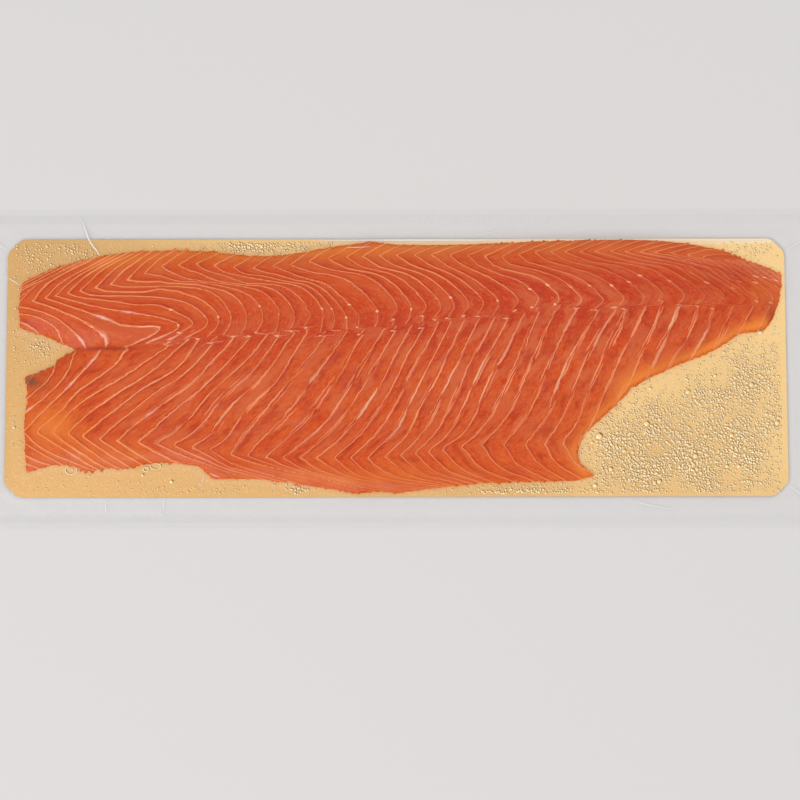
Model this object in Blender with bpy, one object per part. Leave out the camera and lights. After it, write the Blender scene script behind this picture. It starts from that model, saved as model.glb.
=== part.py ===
"""Vacuum pack of smoked salmon, in metres, +Z up.

A trimmed side of smoked salmon lies skin side down on a gold card board. The board lies in a clear
pouch: a flat base film under it, and a top film that the vacuum pulls down over fish and board. The
two films meet round the board in a flat margin, where they are welded.
X runs along the side from its tail end to its head end, and +Y from the belly to the back. The
origin is at the middle of the pouch, on the surface that it lies on.
"""

import math

import bmesh
import bpy
import numpy as np
from mathutils import Vector, geometry

MM = 0.001

# Board and pouch, in millimetres.
BOARD_LENGTH = 600.0
BOARD_WIDTH = 200.0
BOARD_THICKNESS = 1.5
BOARD_CORNER = 10.5
END_MARGIN = 40.0
SIDE_MARGIN = 24.0
POUCH_LENGTH = BOARD_LENGTH + 2 * END_MARGIN
POUCH_WIDTH = BOARD_WIDTH + 2 * SIDE_MARGIN
POUCH_CORNER = 3.0
FILM = 0.3
GAP = 0.3  # left between pieces that touch

# Levels, from the surface upwards.
BASE_TOP = FILM
BOARD_BOTTOM = BASE_TOP + GAP
BOARD_TOP = BOARD_BOTTOM + BOARD_THICKNESS
FISH_BOTTOM = BOARD_TOP + GAP
MARGIN_LEVEL = BASE_TOP + GAP

# Beyond the board's edge the top film leaves its level, and lands on the base film.
FILM_LEAVES = 0.6
FILM_LANDS = 5.0
TENT_SLOPE = 0.45  # how steeply the film comes down from the fish's edge

# Spacing of the points that carry the surfaces.
CURVE_STEPS = 12
OUTLINE_STEP = 8.0
SHOULDERS = (2.6, 7.0)  # rings of points inside the fish's outline, for its rounded shoulder
LATTICE_STEP = 13.5
LEAST_SPACING = 3.2
FILM_STEP = 26.0
FOOT_RING = 4.0  # ring of points outside the fish's outline, where the film comes down
EDGE_CLEARANCE = 2.0

# The side's outline, anticlockwise from the tail's belly corner. Each edge is a smooth line, and
# two edges meet in a corner.
BELLY_EDGE = [
    (-283, -81), (-262, -76), (-246, -77), (-238, -81), (-222, -78), (-205, -79), (-184, -74),
    (-150, -77), (-142, -86), (-108, -86.5), (-75, -91), (-46, -95), (-32, -98), (-14, -96.5),
    (1, -97.5), (32, -93.5), (75, -90), (115, -89), (138, -88), (153, -84),
]  # fmt: skip
COLLAR_CUT = [
    (153, -84), (141, -75), (139, -66), (145, -52), (160, -38), (172, -27), (180, -18), (197, -8),
    (222, 3), (245, 12.5), (266, 26),
]  # fmt: skip
THROAT_EDGE = [(266, 26), (279, 26.5), (287, 31)]
NAPE_CUT = [(287, 31), (293, 43), (296.5, 57), (298, 72)]
BACK_EDGE = [
    (298, 72), (281, 79.5), (262, 87), (238, 94), (205, 98), (172, 99.2), (110, 98), (50, 95.5),
    (2, 95.5), (-20, 97.5), (-55, 93), (-87, 87.5), (-119, 87.5), (-150, 91), (-195, 91),
    (-222, 88), (-249, 82), (-270, 75), (-289, 66),
]  # fmt: skip
TAIL_CUT_BACK = [(-289, 66), (-291, 48), (-290, 30)]
NOTCH_BACK = [(-290, 30), (-270, 24), (-257, 18), (-246, 13.5)]
NOTCH_BELLY = [(-246, 13.5), (-258, 8), (-266, 0), (-286, -7.5)]
TAIL_CUT_BELLY = [(-286, -7.5), (-283, -22), (-285.5, -45), (-283, -81)]
OUTLINE_EDGES = (
    BELLY_EDGE,
    COLLAR_CUT,
    THROAT_EDGE,
    NAPE_CUT,
    BACK_EDGE,
    TAIL_CUT_BACK,
    NOTCH_BACK,
    NOTCH_BELLY,
    TAIL_CUT_BELLY,
)

# The side's body: its thickness along X, and the lateral seam that parts back from belly.
THICKNESS_ALONG = [(-291, 8.5), (-200, 11.5), (-80, 14.5), (60, 16.5), (170, 14.5), (250, 9.5), (298, 5)]
SEAM_LINE = [(-290, 12), (-230, 14), (-160, 21), (-90, 24.5), (-30, 28), (60, 36), (140, 42), (298, 47)]
BACK_REACH = 66.0  # from the seam to the back's edge
BELLY_REACH = 118.0
LOIN_CREST = 0.36  # of the back's reach, where the side is thickest
SEAM_SHARE = 0.92  # of the full thickness, at the seam
BACK_SHARE = 0.58  # and at the back's edge
BELLY_SHARE = 0.36  # and at the belly's
BELLY_CURVE = 1.3
RIM_THICKNESS = 1.6
RIM_ROUNDING = 5.5
SEAM_DEPTH = 0.9
SEAM_DEPTH_AT_NOTCH = 3.2
NOTCH_DEPTH_STARTS = -190.0
NOTCH_DEPTH_RUN = 60.0
SEAM_HALF_WIDTH = 5.0


def clear_scene():
    for obj in list(bpy.data.objects):
        bpy.data.objects.remove(obj)


def material(name, colour, roughness, metallic=0.0):
    made = bpy.data.materials.new(name)
    made.use_nodes = True
    shader = made.node_tree.nodes["Principled BSDF"]
    shader.inputs["Base Color"].default_value = (*colour, 1.0)
    shader.inputs["Roughness"].default_value = roughness
    shader.inputs["Metallic"].default_value = metallic
    return made


def smooth_edge(points, step):
    """Points a step apart along a Catmull-Rom curve through these points, without its last one."""
    ends = [Vector(p) for p in points]
    ends = [2 * ends[0] - ends[1], *ends, 2 * ends[-1] - ends[-2]]
    curve = []
    for before, start, end, after in zip(ends, ends[1:], ends[2:], ends[3:]):
        for t in np.arange(CURVE_STEPS) / CURVE_STEPS:
            straight = 2 * start + (end - before) * t
            bent = (2 * before - 5 * start + 4 * end - after) * t**2
            twisted = (3 * start - before - 3 * end + after) * t**3
            curve.append(0.5 * (straight + bent + twisted))
    curve = np.array(curve + [ends[-2]])
    along = np.concatenate([[0.0], np.cumsum(np.linalg.norm(np.diff(curve, axis=0), axis=1))])
    count = max(2, round(along[-1] / step))
    wanted = np.linspace(0, along[-1], count + 1)[:-1]
    return np.stack([np.interp(wanted, along, curve[:, axis]) for axis in range(2)], axis=1)


def fish_outline():
    return np.concatenate([smooth_edge(edge, OUTLINE_STEP) for edge in OUTLINE_EDGES])


def rounded_rectangle(length, width, radius, arc_steps):
    """Anticlockwise points of a rectangle with round corners, centred on the origin."""
    points = []
    for corner, (sx, sy) in enumerate([(1, -1), (1, 1), (-1, 1), (-1, -1)]):
        centre = Vector((sx * (length / 2 - radius), sy * (width / 2 - radius)))
        for k in range(arc_steps + 1):
            turn = math.radians(90 * (corner - 1 + k / arc_steps))
            points.append(tuple(centre + radius * Vector((math.cos(turn), math.sin(turn)))))
    return np.array(points)


def divided(loop, step):
    """The loop with its long sides divided into pieces of about one step."""
    points = []
    for a, b in zip(loop, np.roll(loop, -1, axis=0)):
        count = max(1, round(float(np.hypot(*(b - a))) / step))
        points += [a + (b - a) * k / count for k in range(count)]
    return np.array(points)


def distance_inside(places, loop):
    """Each place's distance to a closed loop, negative outside it."""
    run = np.roll(loop, -1, axis=0) - loop
    offset = places[:, None, :] - loop[None]
    t = np.clip((offset * run).sum(2) / (run**2).sum(1), 0, 1)
    gap = np.linalg.norm(offset - t[..., None] * run, axis=2).min(1)
    px, py = places[:, :1], places[:, 1:]
    crosses = (loop[:, 1] > py) != (np.roll(loop[:, 1], -1) > py)
    rise = np.where(run[:, 1] == 0, 1e-9, run[:, 1])
    at = loop[:, 0] + (py - loop[:, 1]) / rise * run[:, 0]
    inside = (crosses & (px < at)).sum(1) % 2 == 1
    return np.where(inside, gap, -gap)


def hexagonal_lattice(length, width, step):
    """Places over a rectangle centred on the origin, each a step from its neighbours."""
    row_step = step * math.sqrt(0.75)
    places = []
    for row in range(math.ceil(width / row_step) + 1):
        shift = step / 2 * (row % 2)
        y = row * row_step - width / 2
        places += [(x + shift, y) for x in np.arange(-length / 2, length / 2, step)]
    return np.array(places)


def inset_ring(loop, depth):
    """The loop's points moved inwards, less those that a narrow tip leaves too near the edge."""
    run = np.roll(loop, -1, axis=0) - np.roll(loop, 1, axis=0)
    inward = np.stack([-run[:, 1], run[:, 0]], axis=1) / np.linalg.norm(run, axis=1)[:, None]
    moved = loop + inward * depth
    clear = distance_inside(moved, loop) / math.copysign(1, depth)
    return moved[clear > 0.8 * abs(depth)]


def thinned(places, least):
    """The places in order, less each that comes nearer than this to one already kept."""
    kept = []
    for place in places:
        if not kept or np.linalg.norm(np.array(kept) - place, axis=1).min() > least:
            kept.append(place)
    return np.array(kept)


def fish_places(outline):
    """The points that carry the side's top: its outline, the shoulder rings and a lattice."""
    rings = [inset_ring(outline, depth) for depth in SHOULDERS]
    lattice = hexagonal_lattice(BOARD_LENGTH, BOARD_WIDTH, LATTICE_STEP)
    lattice = lattice[distance_inside(lattice, outline) > SHOULDERS[-1] + LATTICE_STEP / 2]
    inner = thinned(np.concatenate([*rings, lattice]), LEAST_SPACING)
    return np.concatenate([outline, inner])


def read_table(table, x):
    """Values read from (x, value) pairs, in straight lines between neighbours."""
    return np.interp(x, *zip(*table))


def fish_thickness(places, outline):
    """How thick the side is at each place: highest on the loin, thin at the belly and the rim."""
    x, y = places.T
    seam = read_table(SEAM_LINE, x)
    back = np.clip((y - seam) / BACK_REACH, 0, None)
    belly = np.clip((seam - y) / BELLY_REACH, 0, None)
    past_crest = np.clip((back - LOIN_CREST) / (1 - LOIN_CREST), 0, None)
    before_crest = np.clip(1 - back / LOIN_CREST, 0, None)
    over_back = 1 - (1 - BACK_SHARE) * past_crest**2 - (1 - SEAM_SHARE) * before_crest**2
    over_belly = SEAM_SHARE - (SEAM_SHARE - BELLY_SHARE) * belly**BELLY_CURVE
    full = read_table(THICKNESS_ALONG, x) * np.where(y > seam, over_back, over_belly)
    near_notch = np.clip((NOTCH_DEPTH_STARTS - x) / NOTCH_DEPTH_RUN, 0, 1)
    groove = SEAM_DEPTH + (SEAM_DEPTH_AT_NOTCH - SEAM_DEPTH) * near_notch
    full -= groove * np.exp(-(((y - seam) / SEAM_HALF_WIDTH) ** 2))
    depth = np.clip(distance_inside(places, outline), 0, None)
    return RIM_THICKNESS + (full - RIM_THICKNESS) * (1 - np.exp(-depth / RIM_ROUNDING))


def triangles(places, loops):
    """Triangles over the places out to the last loop, with an edge along every loop."""
    edges = [(loop[k - 1], loop[k]) for loop in loops for k in range(len(loop))]
    coords = [Vector(place) for place in places]
    result = geometry.delaunay_2d_cdt(coords, edges, [loops[-1]], 1, 1e-5)
    if len(result[0]) != len(places):
        raise ValueError("two outline edges cross or two points coincide")
    original = [numbers[0] for numbers in result[3]]
    return [[original[v] for v in face] for face in result[2]]


def finished(name, mesh, smooth=False):
    data = bpy.data.meshes.new(name)
    mesh.to_mesh(data)
    mesh.free()
    if smooth:
        data.shade_smooth()
        data.set_sharp_from_angle(angle=math.radians(50))
    obj = bpy.data.objects.new(name, data)
    bpy.context.scene.collection.objects.link(obj)
    return obj


def flat_sheet(name, loop, low, high):
    """A sheet of even thickness with this outline, made by extruding its underside."""
    mesh = bmesh.new()
    underside = mesh.faces.new([mesh.verts.new((x * MM, y * MM, low * MM)) for x, y in loop])
    raised = bmesh.ops.extrude_face_region(mesh, geom=[underside])["geom"]
    verts = [item for item in raised if isinstance(item, bmesh.types.BMVert)]
    bmesh.ops.translate(mesh, verts=verts, vec=(0, 0, (high - low) * MM))
    bmesh.ops.recalc_face_normals(mesh, faces=mesh.faces)
    return finished(name, mesh)


def build_base_film(pouch):
    film = flat_sheet("film_base", pouch, 0.0, BASE_TOP)
    film.data.materials.append(material("clear_film", (0.93, 0.94, 0.94), 0.15))


def build_board():
    loop = rounded_rectangle(BOARD_LENGTH, BOARD_WIDTH, BOARD_CORNER, 8)
    board = flat_sheet("board", loop, BOARD_BOTTOM, BOARD_TOP)
    board.data.materials.append(material("gold_card", (0.76, 0.55, 0.26), 0.45, 0.5))


def build_fish(places, outline, thickness):
    """The side: its domed top, a wall down from the rim and a flat skin side."""
    mesh = bmesh.new()
    top = [mesh.verts.new((x * MM, y * MM, (FISH_BOTTOM + t) * MM)) for (x, y), t in zip(places, thickness)]
    foot = [mesh.verts.new((x * MM, y * MM, FISH_BOTTOM * MM)) for x, y in outline]
    for face in triangles(places, [list(range(len(outline)))]):
        mesh.faces.new([top[v] for v in face])
    for b in range(len(outline)):
        a = (b or len(outline)) - 1
        mesh.faces.new([foot[a], foot[b], top[b], top[a]])
    mesh.faces.new(list(reversed(foot)))
    fish = finished("salmon_side", mesh, smooth=True)
    fish.data.materials.append(material("smoked_salmon", (0.80, 0.19, 0.06), 0.4))


def film_level(places, outline):
    """The top film's underside off the fish: over the board, then down to the margin."""
    board = rounded_rectangle(BOARD_LENGTH, BOARD_WIDTH, BOARD_CORNER, 8)
    beyond = -distance_inside(places, board) - FILM_LEAVES
    fall = np.clip(beyond / (FILM_LANDS - FILM_LEAVES), 0, 1)
    level = BOARD_TOP + GAP + (MARGIN_LEVEL - BOARD_TOP - GAP) * fall
    tent = FISH_BOTTOM + RIM_THICKNESS + GAP + distance_inside(places, outline) * TENT_SLOPE
    return np.where(beyond < 0, np.maximum(level, tent), level)


def build_top_film(fish, outline, thickness, pouch):
    """Over the fish, the film's triangles are the fish's own, so that it lies a gap above it."""
    edges = []
    for spread, arc_steps, step in ((FILM_LEAVES, 6, FILM_STEP), (FILM_LANDS, 4, 1.5 * FILM_STEP)):
        length, width = BOARD_LENGTH + 2 * spread, BOARD_WIDTH + 2 * spread
        edges.append(divided(rounded_rectangle(length, width, BOARD_CORNER + spread, arc_steps), step))
    edges.append(divided(pouch, 2 * FILM_STEP))
    foot = inset_ring(outline, -FOOT_RING)
    foot = foot[distance_inside(foot, edges[0]) > EDGE_CLEARANCE]
    open_board = hexagonal_lattice(BOARD_LENGTH, BOARD_WIDTH, FILM_STEP)
    off_fish = distance_inside(open_board, outline) < -3 * FOOT_RING
    open_board = open_board[off_fish & (distance_inside(open_board, edges[0]) > FILM_STEP / 3)]
    open_board = thinned(np.concatenate([foot, open_board]), FOOT_RING)
    places = np.concatenate([fish, *edges, open_board])
    loops = [list(range(len(outline)))]
    start = len(fish)
    for edge in edges:
        loops.append(list(range(start, start + len(edge))))
        start += len(edge)
    low = film_level(places, outline)
    low[: len(fish)] = FISH_BOTTOM + thickness + GAP
    mesh = bmesh.new()
    under = [mesh.verts.new((x * MM, y * MM, z * MM)) for (x, y), z in zip(places, low)]
    over = [mesh.verts.new((x * MM, y * MM, (z + FILM) * MM)) for (x, y), z in zip(places, low)]
    for face in triangles(places, loops):
        mesh.faces.new([over[v] for v in face])
        mesh.faces.new([under[v] for v in reversed(face)])
    rim = loops[-1]
    for a, b in zip(rim, np.roll(rim, -1)):
        mesh.faces.new([under[a], under[b], over[b], over[a]])
    film = finished("film_top", mesh, smooth=True)
    film.data.materials.append(bpy.data.materials["clear_film"])


def main():
    clear_scene()
    pouch = rounded_rectangle(POUCH_LENGTH, POUCH_WIDTH, POUCH_CORNER, 3)
    outline = fish_outline()
    places = fish_places(outline)
    thickness = fish_thickness(places, outline)
    build_base_film(pouch)
    build_board()
    build_fish(places, outline, thickness)
    build_top_film(places, outline, thickness, pouch)


main()
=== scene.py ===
import math

import bmesh
import bpy
import numpy as np
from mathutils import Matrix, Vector, kdtree


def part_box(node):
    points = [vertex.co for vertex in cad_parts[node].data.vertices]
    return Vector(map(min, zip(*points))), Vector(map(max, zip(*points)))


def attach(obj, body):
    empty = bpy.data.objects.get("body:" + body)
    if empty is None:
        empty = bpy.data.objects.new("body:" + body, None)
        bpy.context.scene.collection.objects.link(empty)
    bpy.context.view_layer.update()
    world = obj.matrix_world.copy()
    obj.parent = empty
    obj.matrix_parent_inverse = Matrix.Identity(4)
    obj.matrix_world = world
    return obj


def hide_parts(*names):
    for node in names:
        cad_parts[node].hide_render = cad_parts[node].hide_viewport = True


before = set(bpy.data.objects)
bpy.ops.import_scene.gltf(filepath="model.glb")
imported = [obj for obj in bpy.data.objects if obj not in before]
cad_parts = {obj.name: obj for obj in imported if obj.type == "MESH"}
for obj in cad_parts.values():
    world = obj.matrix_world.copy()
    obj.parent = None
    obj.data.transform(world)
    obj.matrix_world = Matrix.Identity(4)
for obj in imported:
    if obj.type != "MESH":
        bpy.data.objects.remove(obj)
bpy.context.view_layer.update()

MM = 0.001

# ---------------------------------------------------------------------------------------------
# The base film: the lower sheet of the pouch, clear soft vacuum film about a tenth of a
# millimetre thick. It lies flat on the surface, and the board is laid on it. Its rim is welded
# to the top film in a ribbed band.

POUCH_LOW, POUCH_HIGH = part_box("film_base")
POUCH = POUCH_HIGH - POUCH_LOW
POUCH_CORNER = 3 * MM
FILM_CELL = 2.3 * MM
FILM_LIES = 0.05 * MM
FILM_RIPPLE = 0.05 * MM
WELD_INSET = 4 * MM
WELD_WIDTH = 7 * MM
WELD_RIBS = 190.0
FILM_TINT = (0.97, 0.97, 0.98, 1)
# The share of light that the film mirrors where it is looked at squarely.
FILM_MIRROR = 0.017


def only(obj):
    """Selects one object and nothing else."""
    bpy.ops.object.select_all(action="DESELECT")
    obj.select_set(True)
    bpy.context.view_layer.objects.active = obj


def added(name):
    """Names the object that an operator has just added, and puts its place into its mesh."""
    obj = bpy.context.object
    obj.name = name
    obj.data.name = name
    only(obj)
    bpy.ops.object.transform_apply(location=True, rotation=True, scale=True)
    return obj


def add_grid(name, low, high, cell):
    """A level grid of cells of about this size between two corners, at the lower corner's height."""
    bpy.ops.object.select_all(action="DESELECT")
    run = high - low
    middle = ((low.x + high.x) / 2, (low.y + high.y) / 2, low.z)
    columns, rows = round(run.x / cell), round(run.y / cell)
    bpy.ops.mesh.primitive_grid_add(x_subdivisions=columns, y_subdivisions=rows, size=1, location=middle)
    bpy.context.object.scale = (run.x, run.y, 1)
    return added(name)


def places_of(obj):
    """The object's vertices as rows of x, y, z, in metres."""
    co = np.empty(3 * len(obj.data.vertices))
    obj.data.vertices.foreach_get("co", co)
    return co.reshape(-1, 3)


def move_to(obj, places):
    obj.data.vertices.foreach_set("co", places.ravel())
    obj.data.update()


def add_modifier(obj, kind, **settings):
    """Adds a modifier with these settings and applies it."""
    made = obj.modifiers.new(kind.title(), kind)
    for name, value in settings.items():
        setattr(made, name, value)
    only(obj)
    bpy.ops.object.modifier_apply(modifier=made.name)


def uneven(x, y, size, seed):
    """A smooth uneven field between about -1 and 1, with bumps of about this size."""
    draw = np.random.default_rng(seed)
    total = 0.0
    waves = 7
    for _ in range(waves):
        turn = draw.uniform(0, math.tau)
        length = size * draw.uniform(1.1, 2.9)
        across = (x * math.cos(turn) + y * math.sin(turn)) / length
        total = total + np.sin(math.tau * across + draw.uniform(0, math.tau))
    return total / math.sqrt(waves)


def eased(value, low, high):
    """0 below low and 1 above high, with a smooth step between them."""
    t = np.clip((value - low) / (high - low), 0, 1)
    return t * t * (3 - 2 * t)


def paint(red, green, blue):
    """A colour given as it shows on a screen, from 0 to 255, as the shaders need it."""
    shown = np.array([red, green, blue]) / 255
    linear = np.where(shown <= 0.04045, shown / 12.92, ((shown + 0.055) / 1.055) ** 2.4)
    return (*(float(part) for part in linear), 1.0)


def new_material(name):
    made = bpy.data.materials.new(name)
    made.use_nodes = True
    return made, made.node_tree, made.node_tree.nodes["Principled BSDF"]


def feed(made, inputs):
    """Sets each of these inputs of a node to its value, or links it to its output."""
    for key, value in dict(inputs).items():
        if isinstance(value, bpy.types.NodeSocket):
            made.id_data.links.new(value, made.inputs[key])
        else:
            made.inputs[key].default_value = value


def node(tree, kind, inputs=(), **settings):
    """A node with these settings and inputs."""
    made = tree.nodes.new(kind)
    for name, value in settings.items():
        setattr(made, name, value)
    feed(made, inputs)
    return made


def maths(tree, operation, *values):
    return node(tree, "ShaderNodeMath", enumerate(values), operation=operation).outputs[0]


def times(tree, first, second, plus=None):
    """The product of two values, and a third added to it where one is given."""
    if plus is None:
        return maths(tree, "MULTIPLY", first, second)
    return maths(tree, "MULTIPLY_ADD", first, second, plus)


def minus(tree, first, second):
    return maths(tree, "SUBTRACT", first, second)


def divided(tree, first, second):
    return maths(tree, "DIVIDE", first, second)


def spread(tree, value, low, high, to_low=0.0, to_high=1.0):
    """A smooth step from one value to another while the input goes from low to high."""
    inputs = {"Value": value, "From Min": low, "From Max": high, "To Min": to_low, "To Max": to_high}
    return node(tree, "ShaderNodeMapRange", inputs, interpolation_type="SMOOTHSTEP").outputs[0]


def tinted(tree, factor, under, over):
    """One colour laid over another, as much as the factor says."""
    return node(tree, "ShaderNodeMix", {0: factor, 6: under, 7: over}, data_type="RGBA").outputs[2]


def cloud(tree, where, scale, detail, roughness=0.5):
    """An uneven value round a half, with features of about 1 / scale metres."""
    inputs = {"Vector": where, "Scale": scale, "Detail": detail, "Roughness": roughness}
    return node(tree, "ShaderNodeTexNoise", inputs).outputs["Fac"]


def stretched(tree, where, scale):
    """The coordinates multiplied along each axis."""
    return node(tree, "ShaderNodeMapping", {"Vector": where, "Scale": scale}).outputs[0]


def object_places(tree):
    return node(tree, "ShaderNodeTexCoord").outputs["Object"]


def attribute(tree, name):
    """The value that the mesh keeps under this name."""
    return node(tree, "ShaderNodeAttribute", attribute_name=name).outputs["Fac"]


def bump(tree, height, distance, strength, under=None):
    """The relief of a height this deep, laid over another relief where one is given."""
    inputs = {"Height": height, "Distance": distance, "Strength": strength}
    if under is not None:
        inputs["Normal"] = under
    return node(tree, "ShaderNodeBump", inputs).outputs[0]


def new_group(name, inputs, outputs):
    """A shader node group with these sockets, each given as its name and kind, and its inputs."""
    group = bpy.data.node_groups.new(name, "ShaderNodeTree")
    for direction, sockets in (("INPUT", inputs), ("OUTPUT", outputs)):
        for label, kind in sockets.items():
            group.interface.new_socket(label, in_out=direction, socket_type="NodeSocket" + kind)
    return group, node(group, "NodeGroupInput").outputs


def film_wear_group():
    """How rough the film is, which handling has dulled in places."""
    group, given = new_group("film_wear", {"Where": "Vector"}, {"Roughness": "Float"})
    wear_and_painted_highlight = cloud(group, given["Where"], 60, 1)
    node(group, "NodeGroupOutput", {"Roughness": spread(group, wear_and_painted_highlight, 0.3, 0.7, 0.12, 0.24)})
    return group


def film_material(name, haze_and_painted_highlight, mirror=1.0, ribbed=False):
    """Clear film: what lies behind it shows through, under a gloss that grows at a glance. A white haze
    can be laid over it: a faint one on the milky weld, and a strong one on the pinched folds, where
    it is a painted highlight and the film is less of a mirror."""
    made, tree, gloss = new_material(name)
    where = object_places(tree)
    wear_and_painted_highlight = node(tree, "ShaderNodeGroup", {"Where": where}, node_tree=film_wear).outputs
    feed(gloss, {"Base Color": FILM_TINT, "Metallic": mirror, "Roughness": wear_and_painted_highlight["Roughness"]})
    glance = node(tree, "ShaderNodeLayerWeight", {"Blend": 0.5})
    if ribbed:
        ribs = node(tree, "ShaderNodeTexWave", {"Vector": where, "Scale": WELD_RIBS}).outputs["Fac"]
        relief = bump(tree, ribs, 0.3 * MM, 0.6)
        feed(gloss, {"Normal": relief})
        feed(glance, {"Normal": relief})
    grazing = maths(tree, "POWER", glance.outputs["Facing"], 5.0)
    share = times(tree, grazing, 1 - FILM_MIRROR - haze_and_painted_highlight, plus=FILM_MIRROR + haze_and_painted_highlight)
    clear = node(tree, "ShaderNodeBsdfTransparent").outputs[0]
    mixed = node(tree, "ShaderNodeMixShader", {0: share, 1: clear, 2: gloss.outputs[0]}).outputs[0]
    feed(tree.nodes["Material Output"], {"Surface": mixed})
    return made


def in_weld(place):
    """Whether a place is in the band where the two films are welded."""
    inside = min(POUCH.x / 2 - abs(place.x), POUCH.y / 2 - abs(place.y))
    return WELD_INSET < inside < WELD_INSET + WELD_WIDTH


def note(obj, name, values):
    """Keeps one value for each vertex with the mesh, for its material to read."""
    kept = obj.data.attributes.new(name, "FLOAT", "POINT")
    kept.data.foreach_set("value", np.ascontiguousarray(values, dtype=np.float32))


def start_edit(obj, kind="VERT", action="SELECT"):
    """Goes into edit mode to work on vertices, edges or faces, with all or none of them selected."""
    only(obj)
    bpy.ops.object.mode_set(mode="EDIT")
    bpy.ops.mesh.select_mode(type=kind)
    bpy.ops.mesh.select_all(action=action)


def end_edit():
    bpy.ops.object.mode_set(mode="OBJECT")


def round_corners(obj, radius):
    """Rounds the four corners of a level sheet."""
    places = places_of(obj)
    far = np.abs(places[:, 0]) / POUCH.x + np.abs(places[:, 1]) / POUCH.y
    start_edit(obj, action="DESELECT")
    end_edit()
    for number in np.flatnonzero(far > far.max() - 1e-6):
        obj.data.vertices[int(number)].select = True
    bpy.ops.object.mode_set(mode="EDIT")
    bpy.ops.mesh.bevel(offset=radius, segments=4, affect="VERTICES", clamp_overlap=True)
    end_edit()


film_wear = film_wear_group()
base_film = add_grid("pouch_base", POUCH_LOW, POUCH_HIGH, FILM_CELL)
round_corners(base_film, POUCH_CORNER)
places = places_of(base_film)
ripple = uneven(places[:, 0], places[:, 1], 34 * MM, 3)
places[:, 2] = FILM_LIES + FILM_RIPPLE * (0.5 + 0.4 * ripple)
move_to(base_film, places)

# ---------------------------------------------------------------------------------------------
# The board: stiff grey card a millimetre and a half thick, laminated with satin gold foil on its
# face and silver on its back. It is punched out with its corners cut off and eased, so that the
# card shows as a thin line round its edge.

BOARD_LOW, BOARD_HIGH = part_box("board")
BOARD = BOARD_HIGH - BOARD_LOW
BOARD_CORNER = 10.5 * MM
CORNER_EASE = 3.2 * MM
CARD_EDGE = 0.18 * MM
# Each foil's own colour, a pale colour that gives both its pale specks and its painted sheen, and its dark
# grain.
GOLD = {"Colour": paint(220, 172, 107), "PaleAndSheen": paint(255, 216, 149), "Dark": paint(190, 142, 84)}
SILVER = {"Colour": paint(196, 196, 198), "PaleAndSheen": paint(214, 214, 216), "Dark": paint(170, 170, 174)}
# The colour of the painted highlight along the board's back edge.
FOIL_PAINTED_HIGHLIGHT = paint(255, 240, 206)


def foil_group():
    """Satin foil on card: finely grained and pebbled, with pale specks, a painted sheen that makes it
    paler towards the back and the head end, and a painted highlight along the back edge."""
    group, given = new_group(
        "satin_foil",
        {"Where": "Vector", "Colour": "Color", "PaleAndSheen": "Color", "Dark": "Color"},
        {"Tone": "Color", "Roughness": "Float", "Normal": "Vector"},
    )
    where = given["Where"]
    axes = node(group, "ShaderNodeSeparateXYZ", {0: where}).outputs
    # Painted sheen, with some uneven tone: the foil turns paler towards the head end and the back, where
    # more light falls.
    broad = times(group, cloud(group, where, 9, 2), 0.5, plus=axes[0])
    broad = times(group, axes[1], 1.9, plus=broad)
    grain = cloud(group, where, 900, 3, 0.6)
    speck = spread(group, cloud(group, where, 520, 1), 0.62, 0.72)
    tone = tinted(group, spread(group, broad, 0.0, 0.6), given["Colour"], given["PaleAndSheen"])
    tone = tinted(group, spread(group, grain, 0.3, 0.7, 0.0, 0.22), tone, given["Dark"])
    tone = tinted(group, times(group, speck, 0.3), tone, given["PaleAndSheen"])
    # Painted highlight: a pale streak along the back edge towards the tail, where the board's edge catches
    # the light.
    back_edge = spread(group, axes[1], 94 * MM, 98 * MM)
    wear_and_painted_highlight = times(group, back_edge, spread(group, axes[0], -80 * MM, 0.0))
    tone = tinted(group, times(group, wear_and_painted_highlight, 0.55), tone, FOIL_PAINTED_HIGHLIGHT)
    pebbles = bump(group, grain, 0.4 * MM, 0.5)
    node(group, "NodeGroupOutput", {
        "Tone": tone,
        "Roughness": spread(group, grain, 0.3, 0.7, 0.34, 0.48),
        "Normal": bump(group, cloud(group, where, 330, 2), 1.2 * MM, 0.14, pebbles),
    })
    return group


def foil_material(name, colours):
    made, tree, shader = new_material(name)
    inputs = {"Where": object_places(tree), **colours}
    foil = node(tree, "ShaderNodeGroup", inputs, node_tree=satin_foil).outputs
    feed(shader, {
        "Base Color": foil["Tone"],
        "Metallic": 0.35,
        "Roughness": foil["Roughness"],
        "Normal": foil["Normal"],
    })
    return made


def card_material():
    made, tree, shader = new_material("card_core")
    plies = cloud(tree, stretched(tree, object_places(tree), (400, 400, 9000)), 1, 2)
    tone = tinted(tree, plies, paint(176, 160, 132), paint(214, 204, 184))
    feed(shader, {"Base Color": tone, "Roughness": 0.85, "Normal": bump(tree, plies, 0.2 * MM, 0.4)})
    return made


def face_outwards(obj):
    """Turns all of a closed mesh's faces outwards."""
    start_edit(obj)
    bpy.ops.mesh.normals_make_consistent(inside=False)
    end_edit()


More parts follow.
